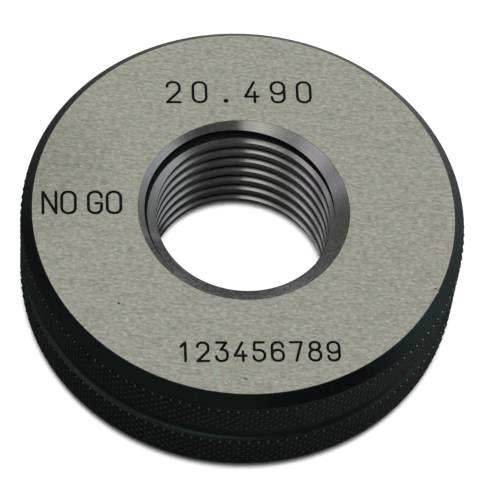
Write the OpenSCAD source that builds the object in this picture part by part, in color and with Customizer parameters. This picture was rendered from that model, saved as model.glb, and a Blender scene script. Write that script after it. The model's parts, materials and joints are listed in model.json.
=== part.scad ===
// Thread ring gauge of the no-go kind, for checking an M22 external thread of 2 mm pitch.
// One turned ring of hardened steel: two ground faces, a rim with two knurled bands and the
// round groove that marks a no-go gauge, and a right-hand internal thread countersunk at
// both ends. The thread has the short form of a no-go gauge: wide flat crests, flanks at 60
// degrees and a clearance slot at the root.
// The ring lies on Z = 0 and the thread's axis is +Z.

/* [Ring] */
// Diameter over the knurled bands
ring_d = 51.4; // [44:0.1:70]
// Thickness from face to face
ring_t = 15.4; // [12:0.1:30]

/* [Rim] */
// Size of the 45 degree chamfer between each face and the knurled band
rim_chamfer = 1.4; // [0.3:0.05:2]
// Width of the round groove at the middle of the rim
groove_w = 2.05; // [1:0.05:4]
// Depth of the round groove below the knurled bands
groove_depth = 0.9; // [0.5:0.05:1.5]

/* [Thread] */
// Pitch of the thread
pitch = 2; // [1.5:0.25:2.5]
// Pitch diameter, at which groove and ridge are equally wide
pitch_d = 20.49; // [18:0.01:21]
// Width of the flat crests
crest_w = 0.8; // [0.6:0.05:0.9]
// Diameter at the bottom of the clearance slot
root_d = 22.9; // [22:0.05:23.2]
// Width of the clearance slot at the root
slot_w = 0.6; // [0.4:0.05:0.7]
// Angle between the two flanks of the groove
flank_angle = 60; // [55:1:60]
// Direction in which the groove's middle runs out through the upper face
start_angle = 272; // [0:1:359]

/* [Countersinks] */
// Diameter of the mouth at each face
mouth_d = 24.4; // [23.3:0.05:26]
// Angle between the sides of the countersink
mouth_angle = 110; // [90:1:120]

/* [Hidden] */

ring_r = ring_d / 2;
face_r = ring_r - rim_chamfer;

crest_r = pitch_d / 2 - (pitch / 2 - crest_w) / 2 / tan(flank_angle / 2);
clear = 0.1; // how far the groove's section reaches into the open bore
mouth_r = mouth_d / 2;
mouth_depth = (mouth_r - crest_r) / tan(mouth_angle / 2);

// The rim groove's section is part of a circle: its radius and the place of its centre
groove_r = (groove_w * groove_w / 4 + groove_depth * groove_depth) / (2 * groove_depth);
groove_centre = ring_r - groove_depth + groove_r;

// The thread groove's section: half its width at a radius between crest and slot
function half_w(r) = pitch / 4 - (r - pitch_d / 2) * tan(flank_angle / 2);
slot_r = pitch_d / 2 + (pitch / 4 - slot_w / 2) / tan(flank_angle / 2);
inner_r = crest_r - clear;
section = [
    [inner_r, -half_w(inner_r)],
    [slot_r, -slot_w / 2],
    [root_d / 2, -slot_w / 2],
    [root_d / 2, slot_w / 2],
    [slot_r, slot_w / 2],
    [inner_r, half_w(inner_r)],
];
corners = len(section);

// The groove runs a little way past both faces, where the countersinks have left no metal
overrun = slot_w;
turn_steps = 36;
rings = ceil((ring_t + 2 * overrun) / pitch * turn_steps);

// Section number i of the groove, counted down from above the upper face
function groove_ring(i) =
    let (z = ring_t + overrun - pitch * i / turn_steps)
    let (a = start_angle + 360 * (z - ring_t) / pitch)
    [for (p = section) [p[0] * cos(a), p[0] * sin(a), z + p[1]]];

module thread_groove() {
    points = [for (i = [0:rings]) each groove_ring(i)];
    sides = [
        for (i = [0:rings - 1]) for (k = [0:corners - 1])
            let (a = i * corners + k)
            let (b = i * corners + (k + 1) % corners)
            each [[a, b + corners, b], [a, a + corners, b + corners]]
    ];
    first_end = [[for (k = [0:corners - 1]) k]];
    last_end = [[for (k = [corners - 1:-1:0]) rings * corners + k]];
    polyhedron(points = points, faces = concat(sides, first_end, last_end));
}

module ring_section() {
    difference() {
        polygon([
            [mouth_r, 0],
            [face_r, 0],
            [ring_r, rim_chamfer],
            [ring_r, ring_t - rim_chamfer],
            [face_r, ring_t],
            [mouth_r, ring_t],
            [crest_r, ring_t - mouth_depth],
            [crest_r, mouth_depth],
        ]);
        translate([groove_centre, ring_t / 2]) circle(r = groove_r, $fn = 72);
    }
}

module gauge_ring() {
    color([0.66, 0.66, 0.62])
    difference() {
        rotate_extrude($fn = 180) ring_section();
        thread_groove();
    }
}

gauge_ring();
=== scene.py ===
# Looks of the no-go thread ring gauge: one closed, detailed ring in place of the plain solid.
import json
import math

import bmesh
import bpy
from mathutils import Matrix, Vector

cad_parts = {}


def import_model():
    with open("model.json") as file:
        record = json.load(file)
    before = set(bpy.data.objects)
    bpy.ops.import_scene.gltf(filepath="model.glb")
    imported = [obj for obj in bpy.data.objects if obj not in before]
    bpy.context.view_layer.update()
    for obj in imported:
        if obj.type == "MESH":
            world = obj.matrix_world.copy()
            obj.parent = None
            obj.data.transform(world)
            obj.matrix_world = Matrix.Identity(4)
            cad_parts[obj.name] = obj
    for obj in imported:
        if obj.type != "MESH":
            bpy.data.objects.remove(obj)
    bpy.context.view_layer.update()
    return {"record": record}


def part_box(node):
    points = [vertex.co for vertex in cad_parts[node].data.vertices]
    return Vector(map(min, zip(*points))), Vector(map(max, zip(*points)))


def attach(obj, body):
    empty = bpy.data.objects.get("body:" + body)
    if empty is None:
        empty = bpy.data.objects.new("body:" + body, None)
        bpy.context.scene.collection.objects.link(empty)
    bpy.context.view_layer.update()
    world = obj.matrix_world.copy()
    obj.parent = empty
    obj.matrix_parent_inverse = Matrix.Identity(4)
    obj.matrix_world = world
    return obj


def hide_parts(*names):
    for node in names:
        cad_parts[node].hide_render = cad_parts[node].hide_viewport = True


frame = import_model()

MM = 0.001
low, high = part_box("gauge_ring")
mounts = {m["name"]: m for m in frame["record"]["mounts"]}

# The ring. What the frame doesn't give repeats the part's own dimensions
RING_T = high.z
RING_R = high.x
CREST_R = mounts["thread"]["dims"]["r_mm"] * MM
CHAMFER = 1.4 * MM
FACE_R = RING_R - CHAMFER
GROOVE_W = 2.05 * MM
GROOVE_DEPTH = 0.9 * MM
MOUTH_R = 12.2 * MM
MOUTH_DEPTH = (MOUTH_R - CREST_R) / math.tan(math.radians(55))
CONE_NORMAL_Z = math.sin(math.radians(55))

# The thread
PITCH = 2 * MM
PITCH_R = 10.245 * MM
ROOT_R = 11.45 * MM
SLOT_W = 0.6 * MM
FLANK = math.radians(30)
SLOT_R = PITCH_R + (PITCH / 4 - SLOT_W / 2) / math.tan(FLANK)
START_ANGLE = math.radians(272)

# The knurl: rows of small pyramids, each row half a pyramid on from the last. Their points are cut
# off, flat to half a width of KNURL_FLAT, and at a slant in the first and last row of each band
KNURL_AROUND = 147
KNURL_ROWS = 8
KNURL_ROW = 0.615 * MM
KNURL_DEPTH = 0.18 * MM
KNURL_START = 1.34 * MM
KNURL_FLAT = 0.11 * MM
KNURL_SLANT_HEIGHT = 0.26 * MM
KNURL_SLANT = 0.8
VALLEY_R = RING_R - KNURL_DEPTH
COLUMNS = 2 * KNURL_AROUND

# The marks on the upper face, in mm: text, middle of its base line, height, step from glyph to
# glyph and width of stroke
MARK_DEPTH = 0.1 * MM
MARK_TURN = math.radians(7.8)
MARKS = [
    ("20.490", (0, 14.75), 2.85, 3.07, 0.33),
    ("NO", (-21.2, -0.6), 2.88, 2.15, 0.35),
    ("GO", (-16.0, -0.6), 2.88, 2.15, 0.35),
    ("123456789", (0.9, -20.1), 2.36, 2.09, 0.32),
]

# Small dents in the upper face, in mm: two ends and width
DENTS = [
    ((22.6, -7.8), (23.0, -8.3), 0.22),
    ((2.1, -22.2), (2.5, -22.4), 0.12),
    ((-12.9, -14.4), (-12.7, -14.5), 0.16),
]

# The photograph's view: the ring's centre on the face seen in a frame of 500 by 500 pixels
IMAGE = 500
CAMERA_ELEVATION = math.radians(57.36)
CAMERA_ROLL = math.radians(6.5)
CAMERA_DISTANCE = 353.2 * MM
CAMERA_FOCAL = 3077
FACE_CENTRE_PX = (244.2, 208.4)


def new_object(name, verts, faces):
    mesh = bpy.data.meshes.new(name)
    mesh.from_pydata(verts, [], faces)
    obj = bpy.data.objects.new(name, mesh)
    bpy.context.scene.collection.objects.link(obj)
    return obj


def face_outwards(obj):
    bm = bmesh.new()
    bm.from_mesh(obj.data)
    bmesh.ops.recalc_face_normals(bm, faces=bm.faces)
    if bm.calc_volume(signed=True) < 0:
        bmesh.ops.reverse_faces(bm, faces=bm.faces)
    bm.to_mesh(obj.data)
    bm.free()


def rounded(corners, steps=4):
    """An outline of (x, y, radius) corners, each rounded by its own radius."""
    out = []
    for i, (x, y, radius) in enumerate(corners):
        here = Vector((x, y))
        if not radius:
            out.append(here)
            continue
        back = (Vector(corners[i - 1][:2]) - here).normalized()
        on = (Vector(corners[(i + 1) % len(corners)][:2]) - here).normalized()
        half = back.angle(on) / 2
        centre = here + (back + on).normalized() * radius / math.sin(half)
        start = here + back * radius / math.tan(half) - centre
        end = here + on * radius / math.tan(half) - centre
        sweep = start.angle_signed(end)
        out += [centre + Matrix.Rotation(-sweep * k / steps, 2) @ start for k in range(steps + 1)]
    return out


def swept(sections, loop):
    """Points and faces of a closed solid through sections of as many points each."""
    size = len(sections[0])
    count = len(sections)
    faces = []
    for i in range(count if loop else count - 1):
        a = i * size
        b = (i + 1) % count * size
        faces += [(a + k, a + (k + 1) % size, b + (k + 1) % size, b + k) for k in range(size)]
    if not loop:
        faces += [tuple(reversed(range(size))), tuple(range((count - 1) * size, count * size))]
    return [p for section in sections for p in section], faces


def cut(obj, solids):
    """Takes solids that don't touch each other, given by their points and faces, from obj."""
    verts, faces = [], []
    for more_verts, more_faces in solids:
        faces += [tuple(len(verts) + k for k in face) for face in more_faces]
        verts += more_verts
    cutter = new_object("cutter", verts, faces)
    face_outwards(cutter)
    modifier = obj.modifiers.new("cut", "BOOLEAN")
    modifier.operation = "DIFFERENCE"
    modifier.solver = "MANIFOLD"
    modifier.object = cutter
    depsgraph = bpy.context.evaluated_depsgraph_get()
    mesh = bpy.data.meshes.new_from_object(obj.evaluated_get(depsgraph))
    obj.modifiers.clear()
    obj.data = mesh
    bpy.data.objects.remove(cutter)


# The ring before its thread is cut

def knurl_height(column, row):
    """Height, 0 to 1, of a field of pyramids whose tips lie where column + row is even."""
    slopes = ((column + row + 1) % 2 - 1, (column - row + 1) % 2 - 1)
    return 1 - max(abs(s) for s in slopes)


def knurl_row(row):
    """The band's radius in each column, at a place along the axis counted in rows."""
    return [RING_R - KNURL_DEPTH * (1 - knurl_height(c, row)) for c in range(COLUMNS)]


def upper_rows():
    """(radii, z) from the bore over the upper face and down the rim to its groove's middle."""
    outline = rounded([
        (CREST_R, RING_T / 2, 0),
        (CREST_R, RING_T - MOUTH_DEPTH, 0.04 * MM),
        (MOUTH_R, RING_T, 0.06 * MM),
        (FACE_R, RING_T, 0.12 * MM),
        (VALLEY_R, RING_T - VALLEY_R + FACE_R, 0.1 * MM),
        (VALLEY_R, RING_T - KNURL_START, 0),
    ])[1:]
    rows = [([p.x] * COLUMNS, p.y) for p in outline]
    band_top = RING_T - KNURL_START
    band_bottom = RING_T / 2 + GROOVE_W / 2
    for row in [*range(KNURL_ROWS), (band_top - band_bottom) / KNURL_ROW - 1]:
        rows.append((knurl_row(row), band_top - KNURL_ROW * (row + 1)))
    radius = (GROOVE_W ** 2 / 4 + GROOVE_DEPTH ** 2) / (2 * GROOVE_DEPTH)
    centre = RING_R - GROOVE_DEPTH + radius
    for degrees in range(66, -1, -6):
        a = math.radians(degrees)
        rows.append(([centre - radius * math.cos(a)] * COLUMNS, RING_T / 2 + radius * math.sin(a)))
    return rows


def plain_ring():
    upper = upper_rows()
    rows = upper + [(radii, RING_T - z) for radii, z in reversed(upper[:-1])]
    angles = [2 * math.pi * c / COLUMNS for c in range(COLUMNS)]
    verts = [
        (r * math.cos(a), r * math.sin(a), z)
        for radii, z in rows for r, a in zip(radii, angles)
    ]
    faces = []
    for i, (radii, _) in enumerate(rows):
        after = (i + 1) % len(rows)
        bumpy = radii[0] != radii[1] and rows[after][0][0] != rows[after][0][1]
        for c in range(COLUMNS):
            d = (c + 1) % COLUMNS
            quad = [i * COLUMNS + c, i * COLUMNS + d, after * COLUMNS + d, after * COLUMNS + c]
            if not bumpy:
                faces.append(quad)
                continue
            if radii[c] > radii[d]:
                quad = quad[1:] + quad[:1]
            faces += [(quad[0], quad[1], quad[2]), (quad[0], quad[2], quad[3])]
    obj = new_object("gauge_ring_looks", verts, faces)
    face_outwards(obj)
    return obj


def band_end(z):
    """1 in the first row of points below a band's upper edge, -1 in the last row, else 0."""
    reach = 1.2 * KNURL_ROW
    tops = (RING_T - KNURL_START, RING_T / 2 - GROOVE_W / 2)
    if any(0 < top - z < reach for top in tops):
        return 1
    return -1 if any(0 < z - (RING_T - top) < reach for top in tops) else 0


def flatten_knurl(obj):
    """Takes the sharp point off each pyramid of the knurl, at a slant at the bands' ends."""
    bm = bmesh.new()
    bm.from_mesh(obj.data)
    tips = [v for v in bm.verts if v.co.xy.length > RING_R - KNURL_DEPTH / 100]
    middles = [v for v in tips if not band_end(v.co.z)]
    ends = [(round(v.co.z, 6), v) for v in tips if band_end(v.co.z)]
    bmesh.ops.bevel(bm, geom=middles, offset=KNURL_FLAT, affect="VERTICES", segments=1)
    half = KNURL_SLANT_HEIGHT / 2
    for z in sorted({tip_z for tip_z, _ in ends}):
        row = [v for tip_z, v in ends if tip_z == z]
        flats = bmesh.ops.bevel(bm, geom=row, offset=half, affect="VERTICES", segments=1)
        for v in flats["verts"]:
            outer = half + (v.co.z - z) * band_end(z)
            v.co.xy *= (RING_R - outer * KNURL_SLANT) / v.co.xy.length
    bm.to_mesh(obj.data)
    bm.free()


# The thread groove

def thread_groove():
    edge = PITCH / 4 - (CREST_R - PITCH_R) * math.tan(FLANK)
    inside = CREST_R - 0.2 * MM
    half = [
        (inside, edge + 0.08 * MM, 0),
        (CREST_R - 0.004 * MM, edge + 0.08 * MM, 0),
        (CREST_R, edge, 0.06 * MM),
        (SLOT_R, SLOT_W / 2, 0.05 * MM),
        (ROOT_R, SLOT_W / 2, 0.1 * MM),
    ]
    section = rounded(half + [(r, -w, radius) for r, w, radius in reversed(half)])
    turn_steps = 147
    overrun = SLOT_W
    sections = []
    for i in range(math.ceil((RING_T + 2 * overrun) / PITCH * turn_steps) + 1):
        z = RING_T + overrun - PITCH * i / turn_steps
        a = START_ANGLE + 2 * math.pi * (z - RING_T) / PITCH
        sections.append([(p.x * math.cos(a), p.x * math.sin(a), z + p.y) for p in section])
    return swept(sections, loop=False)


# The marks. A glyph is a list of strokes on a grid GLYPH_W wide and GLYPH_H high, a stroke a list
# of (x, y, radius) corners. A stroke whose corners are all rounded is a closed loop
GLYPH_W = 5.4
GLYPH_H = 10
ROUND = [(0, 0, 2.5), (5.4, 0, 2.5), (5.4, 10, 2.5), (0, 10, 2.5)]
BOWL = [(0, 0, 2.5), (5.4, 0, 2.5), (5.4, 5.8, 2.5), (0, 5.8, 2.5)]

GLYPHS = {
    "0": [ROUND],
    "1": [[(3.2, 0, 0), (3.2, 10, 0)], [(3.2, 10, 0), (1.1, 7.9, 0)]],
    "2": [
        [(0.1, 7.7, 0), (0.1, 10, 2.2), (5.2, 10, 2.4), (5.2, 5.6, 2), (0, 0, 0)],
        [(0, 0, 0), (5.4, 0, 0)],
    ],
    "3": [
        [(0.3, 10, 0), (5, 10, 0)],
        [(5, 10, 0), (2.4, 6.1, 0)],
        [(2.4, 6.1, 0), (5.4, 6.1, 2.4), (5.4, 0, 2.6), (0.1, 0, 2.2), (0.1, 2.5, 0)],
    ],
    "4": [
        [(3.7, 10, 0), (0, 2.8, 0)],
        [(0, 2.8, 0), (5.4, 2.8, 0)],
        [(3.9, 5, 0), (3.9, 0, 0)],
    ],
    "5": [[
        (5, 10, 0), (0.6, 10, 0.2), (0.4, 5.8, 0.2), (5.4, 5.8, 2.6), (5.4, 0, 2.8),
        (0.1, 0, 2.2), (0.1, 2.5, 0),
    ]],
    "6": [BOWL, [(0, 3, 0), (0, 10, 2.6), (5.2, 10, 2.2), (5.2, 7.5, 0)]],
    "7": [[(0, 10, 0), (5.3, 10, 0)], [(5.3, 10, 0), (2.6, 0, 0)]],
    "8": [BOWL, [(0.4, 5.8, 2), (5, 5.8, 2), (5, 10, 2), (0.4, 10, 2)]],
    "9": [
        [(5.4 - x, 10 - y, radius) for x, y, radius in BOWL],
        [(5.4, 7, 0), (5.4, 0, 2.6), (0.2, 0, 2.2), (0.2, 2.5, 0)],
    ],
    ".": [[(2.6, 0.7, 0), (2.8, 0.7, 0)]],
    " ": [],
    "N": [[(0, 0, 0), (0, 10, 0)], [(0, 10, 0), (5.2, 0, 0)], [(5.2, 0, 0), (5.2, 10, 0)]],
    "O": [ROUND],
    "G": [[
        (5.2, 7.5, 0), (5.2, 10, 2.2), (0, 10, 2.5), (0, 0, 2.5), (5.2, 0, 2.4),
        (5.2, 4.6, 0.2), (3, 4.6, 0),
    ]],
}


def ribbon(path, width, loop=False):
    """A solid that cuts a stroke into the upper face along a path, with round ends."""
    half = width / 2
    sections = []

    def add(point, across):
        corners = ((1, RING_T + MARK_DEPTH / 2), (-1, RING_T + MARK_DEPTH / 2),
                   (-1, RING_T - MARK_DEPTH), (1, RING_T - MARK_DEPTH))
        sections.append([(*(point + across * side), z) for side, z in corners])

    def add_end(point, along, angles):
        for a in map(math.radians, angles):
            add(point + along * half * math.sin(a), along.orthogonal() * half * math.cos(a))

    count = len(path)
    alongs = [(path[(i + 1) % count] - path[i]).normalized() for i in range(count)]
    if not loop:
        alongs[-1] = alongs[-2]
        add_end(path[0], alongs[0], (-84, -60, -30))
    for i, point in enumerate(path):
        before = alongs[i - 1] if loop or i else alongs[0]
        middle = (before + alongs[i]).normalized()
        add(point, middle.orthogonal() * half / middle.dot(before))
    if not loop:
        add_end(path[-1], alongs[-1], (30, 60, 84))
    return swept(sections, loop)


def mark_strokes():
    """The strokes of all marks in passes, as two strokes of one glyph may cross."""
    passes = [[], [], []]
    turn = Matrix.Rotation(MARK_TURN, 2)
    for text, (middle, base), height, step, width in MARKS:
        scale = height / GLYPH_H
        start = middle - (step * (len(text) - 1) + GLYPH_W * scale) / 2
        for place, letter in enumerate(text):
            for i, stroke in enumerate(GLYPHS[letter]):
                path = [
                    turn @ Vector((start + place * step + p.x * scale, base + p.y * scale)) * MM
                    for p in rounded(stroke, 6)
                ]
                broad = 1.7 if letter == "." else 1
                loop = all(radius for _, _, radius in stroke)
                passes[i].append(ribbon(path, width * broad * MM, loop))
    for start, end, width in DENTS:
        passes[0].append(ribbon([Vector(start) * MM, Vector(end) * MM], width * MM))
    return passes


# Materials

class Nodes:
    """A node tree with short ways to add nodes and join them."""

    def __init__(self, owner):
        owner.use_nodes = True
        self.tree = owner.node_tree

    def get(self, name):
        return self.tree.nodes[name]

    def put(self, socket, value):
        if isinstance(value, bpy.types.NodeSocket):
            self.tree.links.new(value, socket)
        else:
            socket.default_value = value

    def add(self, kind, inputs=None, **settings):
        node = self.tree.nodes.new("ShaderNode" + kind)
        for name, value in settings.items():
            setattr(node, name, value)
        for key, value in (inputs or {}).items():
            self.put(node.inputs[key], value)
        return node

    def math(self, operation, *values):
        return self.add("Math", dict(enumerate(values)), operation=operation).outputs[0]

    def vector(self, operation, *values):
        node = self.add("VectorMath", dict(enumerate(values)), operation=operation)
        single = operation in ("LENGTH", "DISTANCE", "DOT_PRODUCT")
        return node.outputs["Value" if single else "Vector"]

    def scaled(self, vector, factor):
        return self.add("VectorMath", {0: vector, "Scale": factor}, operation="SCALE").outputs[0]

    def axis(self, vector, name):
        return self.add("SeparateXYZ", {0: vector}).outputs[name]

    def ramp(self, value, start, end, low_value=0.0, high_value=1.0):
        """Runs smoothly from low_value at start to high_value at end."""
        return self.add("MapRange", {
            "Value": value, "From Min": start, "From Max": end,
            "To Min": low_value, "To Max": high_value,
        }, interpolation_type="SMOOTHSTEP").outputs["Result"]

    def noise(self, vector, scale=1.0, detail=2.0, rough=0.5):
        return self.add("TexNoise", {
            "Vector": vector, "Scale": scale, "Detail": detail, "Roughness": rough,
        }).outputs["Fac"]

    def tint(self, factor, a, b):
        return self.add("Mix", {0: factor, 6: a, 7: b}, data_type="RGBA").outputs[2]

    def bump(self, height, strength, distance):
        values = {"Height": height, "Strength": strength, "Distance": distance}
        return self.add("Bump", values).outputs[0]

    def position_mm(self):
        return self.scaled(self.add("TexCoord").outputs["Object"], 1 / MM)

    def radius(self, position):
        return self.vector("LENGTH", self.vector("MULTIPLY", position, (1, 1, 0)))


def ground_face_material():
    made = bpy.data.materials.new("ground_face")
    n = Nodes(made)
    shader = n.get("Principled BSDF")
    position = n.position_mm()

    def streaks(x, y, shift, detail, rough=0.5):
        place = n.vector("MULTIPLY_ADD", position, (x, y, 0), (shift, shift, 0))
        return n.noise(place, 1.0, detail, rough)

    grain = streaks(1.5, 3.4, 0, 3.0, 0.6)
    level = n.math("ADD", n.ramp(grain, 0.25, 0.75, 0.80, 1.17),
                   n.ramp(streaks(0.3, 1.1, 20, 1.0), 0.3, 0.7, -0.05, 0.05))
    level = n.math("ADD", level, n.ramp(streaks(2.2, 4.4, 40, 0.0), 0.66, 0.80, 0.0, 0.35))
    # Painted highlight: the face's colour is raised towards its outer edge, as a light line along
    # the rounded edge
    edge = FACE_R / MM
    level = n.math("ADD", level, n.ramp(n.radius(position), edge - 0.2, edge - 0.03, 0.0, 0.14))
    # Painted shade: the face is darkened in a patch near its left edge, a painted dark reflection
    painted_shade_distance = n.vector("DISTANCE", position, (-25, 3, RING_T / MM))
    level = n.math("MULTIPLY", level, n.ramp(painted_shade_distance, 2.0, 13.0, 0.84, 1.0))
    reddish, greenish = (0.406, 0.371, 0.346, 1), (0.354, 0.388, 0.346, 1)
    colour = n.tint(n.ramp(streaks(1.3, 3.0, 60, 1.0), 0.3, 0.7), reddish, greenish)
    yellower = n.vector("MULTIPLY", colour, (1.0, 1.0, 0.86))
    colour = n.tint(n.ramp(streaks(1.1, 2.6, 80, 1.0), 0.3, 0.7), colour, yellower)
    n.put(shader.inputs["Base Color"], n.scaled(colour, level))
    n.put(shader.inputs["Metallic"], 1.0)
    n.put(shader.inputs["Roughness"], n.ramp(grain, 0.3, 0.7, 0.46, 0.38))
    n.put(shader.inputs["Normal"], n.bump(grain, 0.25, 0.004 * MM))
    return made


def bore_material(name, roughness, turned, groove_shade):
    """Bright steel with fine lines around the axis, rougher across them where turned, and
    darkened away from the crests by painted shade, but not near the upper countersink."""
    made = bpy.data.materials.new(name)
    n = Nodes(made)
    shader = n.get("Principled BSDF")
    position = n.position_mm()
    around = n.vector("NORMALIZE", n.vector("MULTIPLY", position, (1, 1, 0)))
    along = n.math("ADD", n.math("MULTIPLY", n.radius(position), 9.0),
                   n.math("MULTIPLY", n.axis(position, "Z"), 7.0))
    stretched = n.vector("ADD", n.scaled(around, 2.2), n.add("CombineXYZ", {"Z": along}).outputs[0])
    lines = n.noise(stretched, 1.0, 3.0, 0.6)
    mottle = n.noise(position, 2.4, 3.0, 0.6)
    level = n.math("ADD", n.ramp(lines, 0.3, 0.7, 0.9, 1.06),
                   n.ramp(mottle, 0.3, 0.7, -0.07, 0.07))
    # Painted shade: in the thread groove, away from the crests, the steel is darkened by the factor
    # given, but not near the upper countersink
    below = n.ramp(n.axis(position, "Z"), RING_T / MM - 2.6, RING_T / MM - 1.8, groove_shade, 1.0)
    deep = n.ramp(n.radius(position), CREST_R / MM + 0.2, CREST_R / MM + 0.42, 1.0, below)
    steel = (0.52, 0.52, 0.515)
    n.put(shader.inputs["Base Color"], n.scaled(steel, n.math("MULTIPLY", level, deep)))
    n.put(shader.inputs["Metallic"], 1.0)
    n.put(shader.inputs["Roughness"], n.ramp(mottle, 0.3, 0.7, roughness - 0.03, roughness + 0.03))
    n.put(shader.inputs["Anisotropic"], turned)
    n.put(shader.inputs["Anisotropic Rotation"], 0.25)
    n.put(shader.inputs["Tangent"], n.add("Tangent", direction_type="RADIAL", axis="Z").outputs[0])
    n.put(shader.inputs["Normal"], n.bump(lines, 0.3, 0.003 * MM))
    return made


def blackened_material(name, colour, specular, roughness, metal=0.0):
    """Steel with a black finish, faintly blotched; bare where it is metal.
    In the thread's slot the black is painted shade.
    """
    made = bpy.data.materials.new(name)
    n = Nodes(made)
    shader = n.get("Principled BSDF")
    position = n.position_mm()
    blotch = n.noise(position, 1.6, 3.0, 0.6)
    n.put(shader.inputs["Base Color"], n.scaled(colour, n.ramp(blotch, 0.3, 0.7, 0.75, 1.25)))
    n.put(shader.inputs["Roughness"], n.ramp(blotch, 0.3, 0.7, roughness + 0.05, roughness - 0.05))
    n.put(shader.inputs["Metallic"], metal)
    n.put(shader.inputs["Specular IOR Level"], specular)
    n.put(shader.inputs["Specular Tint"], (0.66, 1.0, 0.98, 1))
    n.put(shader.inputs["Normal"], n.bump(n.noise(position, 12.0), 0.2, 0.01 * MM))
    return made


# The materials' places in the ring's list
FACE, CONE, BORE, SLOT, RIM, BAND, TIP, END_TIP, MARK = range(9)


def region(centre, normal):
    """Which material a face of the ring has, by where it lies and which way it faces."""
    r = centre.xy.length
    depth = min(centre.z, RING_T - centre.z)
    if r > VALLEY_R and abs(normal.z) > 0.5 and band_end(centre.z):
        return END_TIP
    if r > RING_R - 0.06 * MM:
        return TIP
    if r > FACE_R + 0.03 * MM:
        return RIM if depth < KNURL_START else BAND
    if r < MOUTH_R + 0.01 * MM:
        cone_r = MOUTH_R - depth * (MOUTH_R - CREST_R) / MOUTH_DEPTH
        if abs(r - cone_r) < 0.01 * MM and abs(abs(normal.z) - CONE_NORMAL_Z) < 0.02:
            return CONE
        return SLOT if r > SLOT_R - 0.02 * MM else BORE
    return MARK if r < FACE_R - 0.15 * MM and depth > 0.001 * MM else FACE


def outline_cone(obj):
    """Keeps the countersink's shading apart from that of the thread it runs into."""
    bm = bmesh.new()
    bm.from_mesh(obj.data)
    for edge in bm.edges:
        kinds = {face.material_index for face in edge.link_faces}
        if CONE in kinds and len(kinds) > 1:
            edge.smooth = False
    bm.to_mesh(obj.data)
    bm.free()


def dress(obj):
    obj.data.materials.clear()
    for made in (
        ground_face_material(),
        # The last number of each bore material is its painted shade in the thread groove: none on
        # the cone, down to 0.15 in the bore
        bore_material("turned_cone", 0.2, 0.7, 1.0),
        bore_material("lapped_bore", 0.14, 0.0, 0.15),
        # Painted shade: the thread's deep slot is coloured black
        blackened_material("slot_painted_shade", (0.006, 0.006, 0.005), 0.1, 0.6),
        blackened_material("blackened_rim", (0.0014, 0.0007, 0.0007), 0.5, 0.3),
        blackened_material("blackened_band", (0.0045, 0.0045, 0.0045), 0.5, 0.3),
        blackened_material("worn_tip", (0.42, 0.43, 0.43), 0.5, 0.4, 1.0),
        blackened_material("worn_first_tip", (0.34, 0.4, 0.4), 0.5, 0.3, 1.0),
        blackened_material("mark_fill", (0.006, 0.006, 0.006), 0.1, 0.7),
    ):
        obj.data.materials.append(made)
    for polygon in obj.data.polygons:
        polygon.material_index = region(polygon.center, polygon.normal)
        polygon.use_smooth = True
    obj.data.set_sharp_from_angle(angle=math.radians(28))
    outline_cone(obj)
    weighted = obj.modifiers.new("weighted_normals", "WEIGHTED_NORMAL")
    weighted.keep_sharp = True


# The studio

def floor():
    """White to the camera, with a painted contact shadow where the ring stands close; in
    reflections a dim grey, with painted shade to the left, painted light to the right and under
    the bore, and a painted glow towards the back.
    """
    corners = [(-3, -3, 0), (3, -3, 0), (3, 3, 0), (-3, 3, 0)]
    obj = new_object("floor", corners, [(0, 1, 2, 3)])
    made = bpy.data.materials.new("floor")
    n = Nodes(made)
    shader = n.get("Principled BSDF")
    position = n.position_mm()
    # Painted shade and light: the floor's colour runs from dark on the left to lighter on the
    # right, and a little lighter under the bore
    dim = n.ramp(n.vector("DOT_PRODUCT", position, (1, 0, 0)), -30.0, 30.0, 0.06, 0.18)
    dim = n.math("ADD", dim, n.ramp(n.radius(position), 12.0, 8.0, 0.0, 0.04))
    n.put(shader.inputs["Base Color"], n.scaled((1, 1, 1), dim))
    n.put(shader.inputs["Roughness"], 0.9)
    n.put(shader.inputs["Specular IOR Level"], 0.0)
    # Painted contact shadow: the white glow that the camera sees fades where ambient occlusion
    # finds the ring close by
    open_sky = n.add("AmbientOcclusion", {"Distance": 1.8 * MM}, samples=12).outputs["AO"]
    white = n.add("Emission", {"Strength": n.ramp(open_sky, 0.38, 0.6, 0.0, 1.0)})
    # Painted glow: seen only in reflections, the floor gives off light more and more towards the
    # back
    painted_back_glow = n.ramp(n.vector("DOT_PRODUCT", position, (0.3, 0.954, 0)), 10.0, 60.0, 0.0, 0.37)
    seen = n.add("AddShader", {0: shader.outputs[0], 1: white.outputs[0]})
    glow = n.add("Emission", {"Strength": painted_back_glow})
    mirrored = n.add("AddShader", {0: shader.outputs[0], 1: glow.outputs[0]})
    camera_ray = n.add("LightPath").outputs["Is Camera Ray"]
    mix = n.add("MixShader", {0: camera_ray, 1: mirrored.outputs[0], 2: seen.outputs[0]})
    n.put(n.get("Material Output").inputs["Surface"], mix.outputs[0])
    obj.data.materials.append(made)


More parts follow.
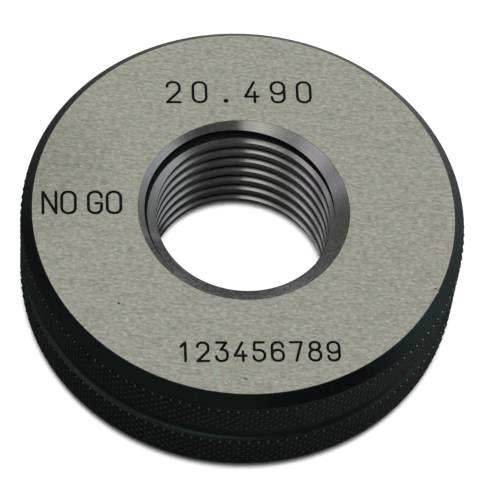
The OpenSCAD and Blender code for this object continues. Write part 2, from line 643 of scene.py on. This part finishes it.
# What the room looks like in the steel: direction in degrees around from +X, colour, and the sine
# of the elevation at which it starts. Below that the room is dim, and overhead white at the back
DIM = (0.09, 0.09, 0.085, 1)
ROOM = [
    (-180, (0.30, 0.29, 0.31), 0.44),
    (-165, (0.66, 0.62, 0.67), 0.48),
    (-151, (0.58, 0.55, 0.59), 0.50),
    (-135, (0.29, 0.29, 0.28), 0.54),
    (-118, (0.52, 0.52, 0.49), 0.60),
    (-99, (0.93, 0.93, 0.82), 0.64),
    (-79, (0.70, 0.70, 0.64), 0.64),
    (-76, (0.10, 0.10, 0.10), 0.50),
    (-45, (0.06, 0.06, 0.06), 0.0),
    (-30, (0.07, 0.07, 0.07), 0.0),
    (-20, (0.14, 0.14, 0.14), 0.0),
    (-14, (0.25, 0.26, 0.26), 0.0),
    (-8, (0.50, 0.53, 0.54), 0.0),
    (-2, (0.56, 0.58, 0.58), 0.0),
    (10, (0.48, 0.53, 0.56), 0.0),
    (30, (0.31, 0.33, 0.33), 0.0),
    (47, (0.18, 0.18, 0.18), 0.0),
    (54, (0.21, 0.21, 0.21), 0.0),
    (58, (1.0, 1.0, 1.0), 0.45),
    (75, (1.0, 1.0, 1.0), 0.04),
    (105, (1.0, 1.0, 1.0), 0.04),
    (127, (1.0, 1.0, 1.0), 0.45),
    (132, (0.14, 0.14, 0.14), 0.30),
    (150, (0.14, 0.14, 0.14), 0.40),
    (161, (0.22, 0.22, 0.21), 0.40),
    (171, (0.48, 0.46, 0.50), 0.42),
    (180, (0.30, 0.29, 0.31), 0.44),
]


def world():
    made = bpy.data.worlds.new("studio")
    bpy.context.scene.world = made
    n = Nodes(made)
    direction = n.add("TexCoord").outputs["Generated"]
    up = n.axis(direction, "Z")
    turn = n.math("ARCTAN2", n.axis(direction, "Y"), n.axis(direction, "X"))
    ramp = n.add("ValToRGB", {"Fac": n.math("ADD", n.math("DIVIDE", turn, 2 * math.pi), 0.5)})
    stops = ramp.color_ramp.elements
    while len(stops) < len(ROOM):
        stops.new(0.5)
    for stop, (degrees, colour, start) in zip(stops, ROOM):
        stop.position = degrees / 360 + 0.5
        stop.color = (*colour, start)
    above = n.ramp(n.math("SUBTRACT", up, ramp.outputs["Alpha"]), -0.06, 0.0)
    colour = n.tint(above, DIM, ramp.outputs["Color"])
    overhead = n.tint(n.ramp(n.axis(direction, "Y"), -0.2, 0.0), DIM, (1, 1, 1, 1))
    colour = n.tint(n.ramp(up, 0.86, 0.93), colour, overhead)
    n.put(n.get("Background").inputs["Strength"], 0.7)
    n.put(n.get("Background").inputs["Color"], (1, 1, 1, 1))
    room = n.add("Background", {"Color": colour})
    white = n.add("Background", {"Color": (1, 1, 1, 1)})
    ray = n.add("LightPath").outputs
    soft = n.get("Background").outputs[0]
    lit = n.add("MixShader", {0: ray["Is Glossy Ray"], 1: soft, 2: room.outputs[0]})
    plain = n.math("MAXIMUM", ray["Is Camera Ray"], ray["Is Transmission Ray"])
    mix = n.add("MixShader", {0: plain, 1: lit.outputs[0], 2: white.outputs[0]})
    n.put(n.get("World Output").inputs["Surface"], mix.outputs[0])


def softbox(name, place, size, power):
    light = bpy.data.lights.new(name, "AREA")
    light.shape = "DISK"
    light.size = size
    light.energy = power
    obj = bpy.data.objects.new(name, light)
    obj.location = place
    obj.rotation_euler = Vector(place).to_track_quat("Z", "Y").to_euler()
    obj.visible_glossy = False
    bpy.context.scene.collection.objects.link(obj)


def camera():
    data = bpy.data.cameras.new("camera")
    data.sensor_width = 36
    data.lens = CAMERA_FOCAL / IMAGE * data.sensor_width
    obj = bpy.data.objects.new("camera", data)
    bpy.context.scene.collection.objects.link(obj)
    bpy.context.scene.camera = obj
    ahead = Vector((0, math.cos(CAMERA_ELEVATION), -math.sin(CAMERA_ELEVATION)))
    centre = Vector((0, 0, RING_T))
    obj.location = centre - ahead * CAMERA_DISTANCE
    right = Matrix.Rotation(-CAMERA_ROLL, 3, ahead) @ Vector((1, 0, 0))
    up = right.cross(ahead)
    off_x = (FACE_CENTRE_PX[0] - IMAGE / 2) / CAMERA_FOCAL
    off_y = (FACE_CENTRE_PX[1] - IMAGE / 2) / CAMERA_FOCAL
    aim = (ahead - right * off_x + up * off_y).normalized()
    right = (right - aim * right.dot(aim)).normalized()
    up = right.cross(aim)
    obj.rotation_euler = Matrix((right, up, -aim)).transposed().to_euler()


ring = plain_ring()
flatten_knurl(ring)
cut(ring, [thread_groove()])
for strokes in mark_strokes():
    cut(ring, strokes)
dress(ring)
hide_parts("gauge_ring")
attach(ring, "root")

floor()
world()
softbox("key", (-0.5, 0.3, 0.9), 0.6, 3)
camera()
bpy.context.scene.view_settings.view_transform = "Standard"
